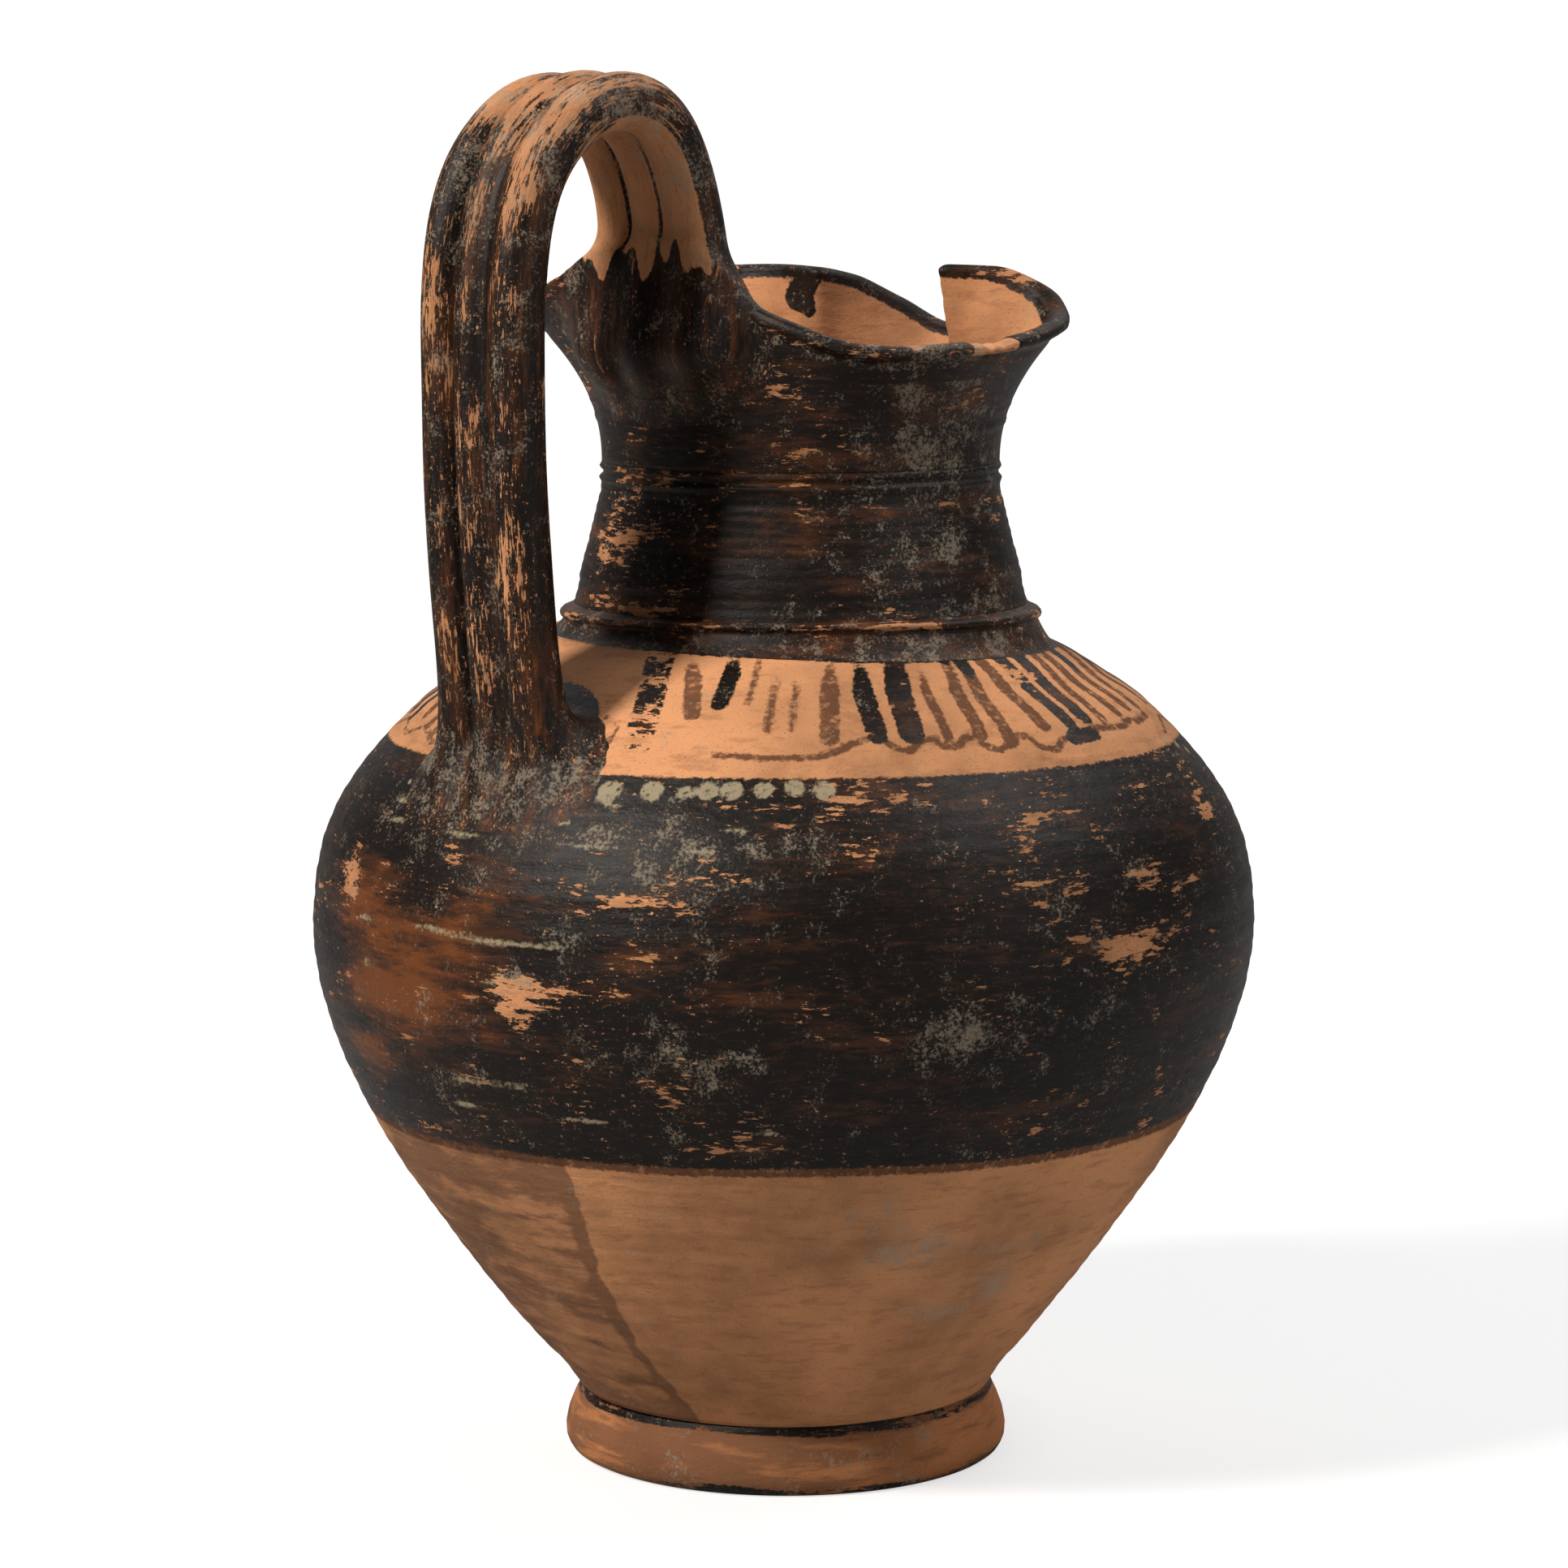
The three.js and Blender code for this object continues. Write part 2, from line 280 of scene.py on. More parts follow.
    # dark slip
    wear_a = attr("wear")
    sl = step(math_("ADD", attr("slip"), edge), -0.22, 0.22)
    clus = math_("MULTIPLY", math_("SUBTRACT", noise(P, 0.07, 4, 0.6, 131.0), 0.5), 0.30)
    fl = math_("ADD", math_("ADD", math_("MULTIPLY", st1, 0.22), math_("MULTIPLY", st2, 0.43)), math_("MULTIPLY", noise(flow, 1.3, 6, 0.72, 47.0), 0.35))
    fl = math_("ADD", math_("ADD", fl, clus), math_("MULTIPLY", wear_a, 0.085))
    flake_m = step(fl, 0.572 - flake, 0.582 - flake)
    speck_v = math_("ADD", math_("MULTIPLY", noise(P, 1.25, 5, 0.75, 71.0), 0.6), math_("MULTIPLY", st3, 0.4))
    speck_m = step(math_("ADD", math_("ADD", speck_v, math_("MULTIPLY", clus, 0.5)), math_("MULTIPLY", wear_a, 0.04)), 0.598 - speck, 0.622 - speck)
    gone = math_("MAXIMUM", flake_m, speck_m)
    keep = math_("MULTIPLY", sl, math_("SUBTRACT", 1.0, gone), clamp=True)
    red_a = attr("red")
    tone = step(math_("ADD", math_("ADD", math_("MULTIPLY", st1, 0.6 * streak), math_("MULTIPLY", noise(flow, 0.9, 5, 0.65, 151.0), 0.4)), math_("MULTIPLY", red_a, 0.20)), 0.50, 0.66)
    sc = mix(tone, (0.0052, 0.0027, 0.0016), (0.050, 0.0165, 0.0055))
    sc = mix(math_("MULTIPLY", step(math_("ADD", red_a, math_("MULTIPLY", math_("SUBTRACT", math_("ADD", math_("MULTIPLY", st2, 0.5), math_("MULTIPLY", st1, 0.5)), 0.5), 5.0)), 0.45, 1.15), 0.85), sc, (0.165, 0.046, 0.0075))
    sc = mix(math_("MULTIPLY", step(st3, 0.50, 0.68), 0.25), sc, (0.05, 0.024, 0.014))
    c = mix(keep, c, sc)
    # cream paint
    cr = math_("MULTIPLY", step(math_("ADD", attr("cream"), edge), -0.25, 0.3), step(noise(P, 0.8, 4, 0.7, 91.0), 0.30, 0.50))
    c = mix(math_("MULTIPLY", cr, 0.8), c, (0.36, 0.29, 0.175))
    # pale lime crust
    cv = math_("ADD", math_("MULTIPLY", noise(P, 0.16, 7, 0.72, 101.0), 0.55), math_("MULTIPLY", noise(P, 1.6, 4, 0.7, 111.0), 0.45))
    crm = math_("MULTIPLY", step(math_("ADD", cv, math_("MULTIPLY", attr("crust"), 0.1)), 0.558 - crust, 0.66 - crust), 0.60)
    c = mix(crm, c, (0.33, 0.27, 0.195))
    L.new(c, bs.inputs["Base Color"])
    # gloss
    r = mixf(keep, math_("ADD", 0.70, math_("MULTIPLY", fine, 0.18)), math_("ADD", 0.36, math_("MULTIPLY", st2, 0.26)))
    r = mixf(crm, r, 0.88)
    L.new(r, bs.inputs["Roughness"])
    # relief, in mm
    h = math_("ADD", math_("MULTIPLY", st2, 0.20), math_("MULTIPLY", mid, 0.35))
    h = math_("ADD", h, math_("MULTIPLY", fine, 0.10))
    h = math_("ADD", h, math_("MULTIPLY", grit, 0.05))
    h = math_("ADD", h, math_("MULTIPLY", st3, 0.06))
    h = math_("ADD", h, math_("MULTIPLY", keep, 0.07))
    h = math_("ADD", h, math_("MULTIPLY", crm, 0.10))
    b = N.new("ShaderNodeBump"); b.inputs["Distance"].default_value = 0.001; b.inputs["Strength"].default_value = 0.8
    L.new(h, b.inputs["Height"]); L.new(b.outputs[0], bs.inputs["Normal"])
    return m


M_BODY = clay("painted_clay")
M_NECK = clay("dark_slip_neck", flake=-0.03, speck=-0.02, crust=0.0)
M_MOUTH = clay("dark_slip_mouth", flake=-0.02, speck=-0.012, crust=0.0)
M_HANDLE = clay("worn_slip_handle", flake=-0.004, speck=0.012, crust=0.0)
M_FOOT = clay("foot_clay", clay_col=(0.42, 0.165, 0.06), flake=0.03, crust=0.0)

# -------------------------------------------------------------------------- foot
NU = 400
phi = np.arange(NU) / NU * 2 * math.pi
foot_p = resample([[36.0, 0.0], [41.2, 0.0], [42.4, 0.7], [43.0, 2.2], [43.1, 4.0], [42.6, 6.6], [41.5, 9.4],
                   [40.5, 11.4], [40.1, 12.6], [39.8, 13.0], [34.0, 12.9], [33.2, 8], [34.6, 2], [36.0, 0]], 0.9)[:-1]
r, z = foot_p[:, 0][None, :], foot_p[:, 1][None, :]
crease = 1.0 * wob(phi * 1.0, 4)[:, None]
outer = (r > 38.5)
zz = z + np.where(outer, crease * np.clip((z - 6) / 7, 0, 1) * 0.7, 0) * np.where(z > 12.95, 0.5, 1)
rr = r + np.where(outer & (z > 0.3) & (z < 12), 0.25 * wob(phi, 8)[:, None], 0)
V = np.stack([rr * np.cos(phi)[:, None] + 0.3, rr * np.sin(phi)[:, None] - 0.3, np.maximum(zz, 0) + 0 * rr], -1).reshape(-1, 3)
az = np.arctan2(V[:, 1], V[:, 0])
f = fields(V)
zf = V[:, 2]
f["flow"] = V * np.array([0.3, 0.3, 2.2])
f["wash"] = 0.42 + 0.2 * wob(az, 21) + 0.3 * bump1(np.abs(zf - 12.8), 3.0)
f["slip"] = np.maximum(1.0 - np.abs(zf - 0.8) * 1.0 + 1.6 * wob(az, 31, 14) - 0.9, -1.6 + 1.1 * wob(az, 33, 18) + bump1(np.abs(zf - 12.4), 2.2) * 3.2)
f["crust"] = 0.1 + 0.8 * np.clip(wob(az, 35, 6), 0, 1)
f["wear"] = np.full(len(V), 0.2)
mesh_piece("foot_ring_clay", V, revolve_faces(NU, len(foot_p), True), f, M_FOOT, ["foot_ring"])

# -------------------------------------------------------------------------- body
zo = np.linspace(13.1, 160.6, 600)
outer_p = resample(np.stack([body_r(zo), zo], 1), 1.05)
inner = [[40.0, 160.4], [42.5, 156.5], [55.0, 150.5], [62.5, 146], [69.0, 140], [74.5, 134], [80.3, 127], [84.0, 120],
         [85.6, 112], [86.1, 104], [85.3, 96], [82.1, 84], [76.9, 72], [70.2, 60], [63.4, 50], [56.3, 40], [50.2, 32], [38, 21], [24, 17], [0.0, 16.5]]
prof = np.concatenate([[[0.0, 10.5], [30.0, 10.5], [33.5, 12.6]], outer_p, resample(inner, 6.0)])
r, z = prof[:, 0][None, :], prof[:, 1][None, :]
NUB = 408
phi = np.arange(NUB) / NUB * 2 * math.pi
is_out = np.zeros(len(prof), bool); is_out[3:3 + len(outer_p)] = True
line = 0.06 * np.sin(z * 2.1 + 0.8 * wob(phi, 2)[:, None]) + 0.05 * np.sin(z * 0.9) + 0.22 * wob(phi, 6)[:, None] * np.sin(z / 31.0)
rr = r + np.where(is_out[None, :], line, 0) * np.clip((160 - z) / 6, 0, 1) * np.clip((z - 13) / 6, 0, 1)
cu = np.interp(z, [13, 30, 60, 110], [0, -0.8, -0.7, 0])
X = rr * np.cos(phi)[:, None] + 0.682 * cu
Y = rr * np.sin(phi)[:, None] - 0.731 * cu
V = np.stack([X, Y, z + 0 * rr], -1).reshape(-1, 3)
outm = np.tile(is_out, NUB)
az = np.arctan2(V[:, 1], V[:, 0])
zb = V[:, 2]
# gouge on the shoulder's edge
g0, g1 = pix(1291, 938), pix(1326, 952)
gd = seg_dist(V, [g0, g1])
dent = bump1(gd, 2.2) * 0.9 * outm
rad = np.hypot(V[:, 0], V[:, 1]) + 1e-6
V[:, 0] -= V[:, 0] / rad * dent; V[:, 1] -= V[:, 1] / rad * dent

f = fields(V)
zlo = 71.6 + 0.5 * wob(az, 12, 9)
zhi = 141.0 + 0.5 * wob(az, 14, 7)
band = np.minimum(zb - zlo, zhi - zb)
slip = np.where(outm, band, -10.0)
brown = np.full(len(V), -10.0)
cream = np.full(len(V), -10.0)
wear = np.zeros(len(V)); red = np.zeros(len(V)); crust = np.zeros(len(V)); wash = np.zeros(len(V))
brown = np.where(outm, np.maximum(brown, 1.1 - np.abs(zb - (zlo - 0.6))), brown)

# tongue strokes: (top, bottom, width px, kind)
S = [((817, 801), (786, 917), 28, "w"), ((856, 792), (852, 881), 18, "b"), ((915, 792), (887, 868), 18, "k"),
     ((939, 804), (921, 868), 12, "f"), ((962, 800), (945, 900), 14, "f"), ((986, 800), (975, 900), 12, "f"),
     ((1022, 799), (1022, 911), 20, "m"), ((1046, 796), (1081, 907), 21, "k"), ((1090, 796), (1123, 904), 26, "k"),
     ((1116, 797), (1168, 907), 11, "b"), ((1149, 796), (1209, 905), 14, "m"), ((1171, 799), (1247, 914), 14, "m"),
     ((1194, 802), (1286, 894), 13, "b"), ((1213, 796), (1317, 890), 13, "k"), ((1238, 796), (1334, 883), 13, "k"),
     ((1260, 797), (1358, 886), 8, "b"), ((1271, 796), (1375, 877), 8, "b"), ((1283, 793), (1386, 870), 8, "m"),
     ((1295, 790), (1398, 868), 8, "b"), ((1306, 792), (1407, 862), 8, "m")]
near = outm & (zb > 128)
idx = np.where(near)[0]
Pn = V[idx]


def stroke(line, half, kind):
    d = seg_dist(Pn, line)
    sd = half - d
    top = np.linalg.norm(Pn - line[0], axis=1)
    if kind in ("k", "w"):
        slip[idx] = np.maximum(slip[idx], sd)
        if kind == "w":
            wear[idx] += 0.9 * (d < half * 1.3)
    elif kind == "m":
        slip[idx] = np.maximum(slip[idx], np.where(top < 9, sd, sd - (top - 9) * 0.5))
        brown[idx] = np.maximum(brown[idx], sd)
    elif kind == "b":
        brown[idx] = np.maximum(brown[idx], sd)
    else:
        brown[idx] = np.maximum(brown[idx], sd * 0.6 - 0.25)


used = []
for a, b, w, kind in S:
    ln = pix_line([a, ((a[0] + b[0]) / 2, (a[1] + b[1]) / 2 + 2), b])
    if len(ln) >= 2:
        k = 6.5
        foreshort = max(0.45, abs(math.cos(math.atan2(ln[-1][1], ln[-1][0]) - math.atan2(-0.682, -0.7314))))
        stroke(ln, 1.2 * w / 2 / k / foreshort, kind)
        used.append(math.atan2(ln[-1][1], ln[-1][0]))
# the unseen side carries the same ring of strokes
a_from, a_to = max(used), min(used) + 2 * math.pi
hid = np.random.RandomState(7)
a = a_from + 0.095
while a < a_to - 0.35:
    kind = hid.choice(["k", "b", "m", "b", "k"])
    half = hid.uniform(1.0, 2.0)
    z0, z1 = 157.6 + hid.uniform(-0.5, 0.5), 145.5 + hid.uniform(-1.0, 1.0)
    tw = hid.uniform(-0.02, 0.02)
    ln = [np.array([body_r(q) * math.cos(a + tw * t), body_r(q) * math.sin(a + tw * t), float(q)])
          for t, q in ((0, z0), (0.5, (z0 + z1) / 2), (1, z1))]
    if abs((a - math.pi + math.pi) % (2 * math.pi) - math.pi) > 0.26:
        stroke(ln, half, kind)
    a += 0.095 + hid.uniform(-0.012, 0.012)
# running wave under the strokes
W = [(880, 930), (940, 935), (1000, 934), (1028, 928), (1056, 914), (1081, 908), (1101, 920), (1121, 927), (1135, 911), (1151, 910),
     (1160, 918), (1177, 922), (1191, 908), (1205, 908), (1210, 917), (1230, 924), (1247, 917), (1253, 906), (1267, 906),
     (1281, 920), (1303, 924), (1309, 911), (1337, 905), (1350, 897), (1368, 896), (1384, 894), (1393, 886), (1401, 889), (1412, 880)]
wl = pix_line(W)
brown[idx] = np.maximum(brown[idx], 0.85 - seg_dist(Pn, wl))
wa = math.atan2(wl[-1][1], wl[-1][0])
hw = []
for k in range(260):
    t = wa + (math.pi - 0.3 - wa) * k / 259.0
    q = 143.6 + 0.9 * math.sin(t * 26.0 + 0.7 * math.sin(5 * t))
    hw.append(np.array([body_r(q) * math.cos(t), body_r(q) * math.sin(t), float(q)]))
brown[idx] = np.maximum(brown[idx], 0.6 - seg_dist(Pn, hw))
blob = pix_line([(1322, 909), (1348, 903)])
slip[idx] = np.maximum(slip[idx], 1.7 - seg_dist(Pn, blob))
leaf = pix_line([(744, 884), (741, 902), (751, 916), (762, 898), (750, 882)])
brown[idx] = np.maximum(brown[idx], 0.45 - seg_dist(Pn, leaf))
# cream dots under the band's top edge
for x, y, rr_ in [(751, 975, 15), (803, 975, 14), (843, 977, 10), (872, 975, 13), (902, 975, 13), (941, 974, 12), (979, 971, 12),
                  (1015, 974, 13), (1437, 912, 7), (1450, 917, 7), (1463, 924, 7)]:
    q = pix(x, y)
    if q is not None:
        cream[idx] = np.maximum(cream[idx], rr_ / 6.4 - np.linalg.norm(Pn - q, axis=1))
# faded cream lines
for ln in [[(506, 963), (590, 979), (763, 994)], [(495, 986), (571, 1007), (686, 1015), (916, 1026)],
           [(483, 1009), (571, 1030), (724, 1044), (877, 1051)], [(445, 1128), (533, 1145), (610, 1162), (686, 1166)],
           [(449, 1185), (610, 1210)], [(445, 1296), (571, 1329), (648, 1338)], [(441, 1319), (571, 1359), (724, 1380), (954, 1396)]]:
    q = pix_line(ln)
    if len(q) > 1:
        cream = np.where(outm, np.maximum(cream, 0.62 - seg_dist(V, q)), cream)


def patch(target, x, y, rx, amount):
    q = pix(x, y)
    if q is None:
        return target
    d = np.linalg.norm((V - q) * np.array([1, 1, 1.9]), axis=1)
    return target + np.where(outm, amount * bump1(d, rx / 6.4), 0)


for x, y, rx, am in [(430, 1080, 80, 1.1), (470, 1090, 60, 1.0), (745, 1118, 85, 1.1), (630, 1225, 105, 1.1), (980, 1000, 120, 0.75),
                     (1265, 1022, 55, 0.9), (1405, 1078, 60, 1.0), (1380, 1170, 95, 0.95), (900, 990, 60, 0.7), (1330, 1080, 50, 0.6),
                     (1000, 1120, 90, -0.9), (1120, 1180, 160, -1.0), (1100, 1330, 200, -0.8), (900, 1200, 120, -0.8), (620, 950, 60, 0.5),
                     (1480, 1000, 60, 0.7), (560, 1000, 80, 0.2)]:
    wear = patch(wear, x, y, rx, am)
for x, y, rx, am in [(450, 1110, 150, 1.0), (480, 1210, 170, 1.1), (560, 1150, 160, 0.8), (620, 1080, 140, 0.6), (460, 1300, 130, 0.8), (540, 1250, 140, 0.7),
                     (760, 1180, 90, 0.35), (880, 1200, 110, 0.3), (600, 1260, 90, 0.3)]:
    red = patch(red, x, y, rx, am)
for x, y, rx, am in [(780, 1040, 150, 0.7), (860, 1070, 120, 0.6), (1180, 1280, 130, 0.9), (850, 1310, 120, 0.8), (640, 1000, 130, 0.7), (960, 1040, 90, 0.6), (1340, 1240, 140, 0.35), (640, 1220, 70, 0.9),
                     (1120, 1540, 150, 1.0), (1180, 1610, 140, 0.95), (1060, 1500, 110, 0.7), (1240, 1560, 110, 0.7), (600, 970, 130, 0.8), (700, 1150, 80, 0.5),
                     (1330, 1140, 120, 0.4), (1420, 1000, 90, 0.4), (560, 1330, 90, 0.5), (720, 1480, 60, 0.5)]:
    crust = patch(crust, x, y, rx, am)
# stained side of the lower body, left of a ragged line
st = pix_line([(690, 1415), (720, 1500), (745, 1580), (790, 1660), (850, 1735)])
sz = np.array([q[2] for q in st])[::-1]; sa = np.unwrap([math.atan2(q[1], q[0]) for q in st])[::-1]
aw = np.where(az > 0, az - 2 * math.pi, az)
sa = np.where(sa > 0, sa - 2 * math.pi, sa)
edge_a = np.interp(zb, sz, sa)
side = (edge_a - aw) * np.hypot(V[:, 0], V[:, 1])
stain = np.clip(side / 3.0 + 0.5, 0, 1) * np.clip((100 - side) / 40, 0, 1)
wash = np.where(outm & (zb < 71.5), 0.50 * stain + 0.35 * bump1(np.abs(side - 1.2), 3.0), wash)
wash = wash + np.where(outm & (zb > 141), 0.1, 0) + np.where(outm, 0.25 * bump1(np.abs(zb - 14), 5), 0)
wear = wear + np.where(outm, -0.15 + 0.35 * wob(az, 50, 7), 0)
# black slip round the handle's root on the shoulder, with more wear and crust there
hr = np.hypot(V[:, 1] / 1.25, (zb - 139.5) * 1.1)
slip = np.where(outm & (V[:, 0] < -40), np.maximum(slip, 17.0 - np.hypot(V[:, 1], (zb - 143.5) * 1.5)), slip)
wear = wear + np.where(V[:, 0] < -40, 0.5 * bump1(hr, 24), 0)
crust = crust + np.where(V[:, 0] < -40, 0.5 * bump1(hr, 30), 0)
# dark slip turns onto the shoulder from the collar
slip = np.where(outm & (zb > 150), np.maximum(slip, 49.3 - np.hypot(V[:, 0] - NECK_C[0], V[:, 1] - NECK_C[1]) + 0.5 * wob(az, 61, 9)), slip)
f.update(slip=slip, brown=brown, cream=cream, wear=wear, red=red, crust=crust, wash=wash)
mesh_piece("body_shell", V, revolve_faces(NUB, len(prof), False), f, M_BODY, ["body"])

# ------------------------------------------------------------------ collar, neck
NU = 400
phi = np.arange(NU) / NU * 2 * math.pi


def ring_piece(name, prof, mat, slot, node, relief=None, **kw):
    r, z = prof[:, 0][None, :], prof[:, 1][None, :]
    rr = r + (relief(phi[:, None], z) if relief is not None else 0)
    zz = z + kw.get("zw", 0) * wob(phi, 77, 5)[:, None] * np.ones_like(r)
    V = np.stack([rr * np.cos(phi)[:, None] + NECK_C[0], rr * np.sin(phi)[:, None] + NECK_C[1], zz + 0 * rr], -1).reshape(-1, 3)
    f = fields(V)
    f["slip"] = np.full(len(V), 10.0)
    f["red"] = np.full(len(V), 0.12) + 0.2 * np.clip(wob(np.arctan2(V[:, 1], V[:, 0]), 81, 5), 0, 1)
    a = np.arctan2(V[:, 1] - NECK_C[1], V[:, 0] - NECK_C[0])
    f["crust"] = 0.25 * np.clip(wob(a, 83, 5), 0, 1) + kw.get("crust", 0)
    f["wear"] = kw.get("wear", 0.0) + 0.3 * wob(a, 85, 6)
    # painted light: left of the view, where the key lamp falls, the neck is flaked down to the clay so that side reads
    # lighter
    left = bump1(np.abs((a - math.radians(172) + math.pi) % (2 * math.pi) - math.pi) * 40, 26)
    f["wear"] = f["wear"] + left * (0.9 if node == "neck" else 0.4)
    rt = bump1(np.abs((a - math.radians(-98) + math.pi) % (2 * math.pi) - math.pi) * 40, 34)
    f["crust"] = f["crust"] + rt * (0.55 if node == "neck" else 0.2)
    inner_r = kw.get("inner_r")
    if inner_r is not None:
        rv = np.hypot(V[:, 0] - NECK_C[0], V[:, 1] - NECK_C[1])
        f["slip"] = np.where(rv < inner_r(V[:, 2]), -10.0, f["slip"])
    return mesh_piece(name, V, revolve_faces(NU, len(prof), True), f, mat, [node])


zu = np.linspace(110.0, 160.6, 400)
ru = body_r(zu)


def shoulder_z(r):
    return np.interp(r, ru[::-1], zu[::-1])


col_r = np.concatenate([np.linspace(49.4, 45.7, 16), [45.9, 46.3, 46.45, 46.3, 45.8, 45.0, 44.3, 43.9], [38.6, 38.6, 42.0]])
col_z = np.concatenate([np.full(16, np.nan), [163.1, 163.5, 164.0, 164.5, 165.0, 165.3, 165.5, 165.9], [165.9, 160.0, 158.0]])
ca, sa_ = np.cos(phi)[:, None], np.sin(phi)[:, None]
r2 = np.repeat(col_r[None, :], NU, 0)
X = NECK_C[0] + r2 * ca; Y = NECK_C[1] + r2 * sa_
zs = shoulder_z(np.hypot(X, Y))
t = np.clip((49.4 - r2) / (49.4 - 45.7), 0, 1)
wave = 0.9 * np.cos(phi - math.radians(-137))[:, None] + 0.35 * wob(phi, 77, 6)[:, None]
Z = np.where(np.isnan(col_z)[None, :], zs - 0.25 * (1 - t) ** 3 + (162.9 + wave * t - zs) * t ** 2.3, np.nan_to_num(col_z)[None, :] + wave * np.clip((165.9 - np.nan_to_num(col_z)) / 1.5, 0, 1)[None, :])
Z = np.where((col_z < 161)[None, :] & ~np.isnan(col_z)[None, :], np.nan_to_num(col_z)[None, :] - 2.0, Z)
V = np.stack([X, Y, Z], -1).reshape(-1, 3)
f = fields(V)
ac = np.arctan2(V[:, 1] - NECK_C[1], V[:, 0] - NECK_C[0])
f["slip"] = np.tile(49.9 - col_r, NU) * 1.6 + 0.6 * wob(ac, 79, 12)
f["crust"] = 0.4 + 0.5 * bump1(np.abs((ac - math.radians(-98) + math.pi) % (2 * math.pi) - math.pi) * 40, 30) * (V[:, 2] < 163)
f["wear"] = 0.25 + 0.6 * np.tile(bump1(np.abs(col_r - 46.4) + (np.nan_to_num(col_z) < 163) * 5.0, 0.8), NU)
f["red"] = np.full(len(V), 0.35)
mesh_piece("collar_ridge", V, revolve_faces(NU, len(col_r), True), f, M_NECK, ["neck_collar"])

zn = np.linspace(165.2, 193.0, 200)
rn = hermite(NECK_OUT[:, 1], NECK_OUT[:, 0], zn)
for zc, amp, w in ((190.0, 0.45, 0.55), (192.2, 0.4, 0.5), (191.1, -0.35, 0.6), (187.3, -0.12, 0.7), (171.5, 0.15, 0.8), (177.5, -0.1, 1.0)):
    rn = rn + amp * np.exp(-((zn - zc) / w) ** 2)
neck_p = np.concatenate([resample(np.stack([rn, zn], 1), 0.45), resample([[33.2, 193.0], [33.3, 189], [34.3, 184], [37.1, 173], [38.9, 165.2]], 4.0)])
ring_piece("neck_wall", neck_p, M_NECK, "dark_slip", "neck", inner_r=lambda z: 37.0,
           relief=lambda p, z: 0.05 * np.sin(z * 3.3 + p) * 1.0)

# ------------------------------------------------------------------------- mouth
NUM = 540
deg = np.arange(NUM) / NUM * 360 - 180
R = rim_at(deg, 1); Z = rim_at(deg, 2)
rows = []
for s in np.linspace(0, 1, 46):
    lipb = 0.9 * math.exp(-((s - 0.975) / 0.03) ** 2) - 0.25 * math.exp(-((s - 0.90) / 0.03) ** 2)
    groove = 0.25 * math.exp(-((s - 0.30) / 0.02) ** 2) + 0.12 * math.exp(-((s - 0.42) / 0.02) ** 2)
    rows.append((s, -lipb - groove, 0.0, 1))
for t in np.linspace(0.12, 0.88, 8):
    an = math.pi * t
    rows.append((1.0, 1.75 - 2.35 * math.cos(an), 1.5 * math.sin(an), 2))
for s in np.linspace(1.0, 0.0, 30):
    rows.append((s, 3.9 + 1.1 * min(1, (1 - s) * 4), 0.0, 3))
rows = np.array(rows)
s, inset, lift, kind = rows.T
a = np.radians(deg)
rad = 38.2 + (R[:, None] - 38.2) * (s ** 2.1)[None, :] - inset[None, :] + 0.10 * np.sin(s * 60)[None, :] * (kind == 3)[None, :]
zz = NECK_TOP + (Z[:, None] - NECK_TOP) * s[None, :] + lift[None, :]
# broken edge of the near lobe
chip = np.clip(1 - np.abs(deg + 86) / 9.5, 0, 1) ** 0.5
rs = np.random.RandomState(12)
jag = np.interp(deg, np.linspace(-180, 180, 241), rs.uniform(0.35, 1.0, 241))
zz -= (chip * jag * 1.5)[:, None] * (s > 0.985)[None, :]
rad -= (chip * jag * 0.9)[:, None] * ((kind == 1) & (s > 0.93))[None, :]
V = np.stack([NECK_C[0] + rad * np.cos(a)[:, None], NECK_C[1] + rad * np.sin(a)[:, None], zz], -1).reshape(-1, 3)
f = fields(V)
kk = np.tile(kind, NUM); ss = np.tile(s, NUM); dd = np.repeat(deg, len(rows)); ch = np.repeat(chip, len(rows))
f["slip"] = np.where(kk == 3, -3.0 + 4.0 * bump1((1 - ss) * 40, 4.0), 8.0)
run = 3.2 - np.abs(dd - 41 + 2 * np.sin(ss * 20)) * 0.62 - np.clip(0.80 - ss, 0, 1) * 60
f["slip"] = np.where(kk == 3, np.maximum(f["slip"], np.minimum(run, 1.2)), f["slip"])      # run of slip inside
f["slip"] = np.where((ch > 0.25) & (ss > 0.95), -2.0, f["slip"])
f["red"] = np.full(len(V), 0.15)
f["wear"] = 0.35 * np.where((kk == 2) | ((kk == 1) & (ss > 0.93)), 1, 0) + 0.25 * wob(np.radians(dd), 91, 6)
f["crust"] = 0.9 * bump1(np.abs(dd + 112), 45) * (ss > 0.85) + 0.9 * bump1(np.abs(dd + 98), 42) * (kk == 1) * (ss < 0.75) \
    + 0.6 * bump1(np.abs(dd + 50), 16) * (kk == 3)
f["wear"] = f["wear"] + 0.5 * bump1(np.abs(dd + 158), 22) * (kk == 1)
mesh_piece("mouth_wall", V, revolve_faces(NUM, len(rows), True), f, M_MOUTH, ["trefoil_mouth"])

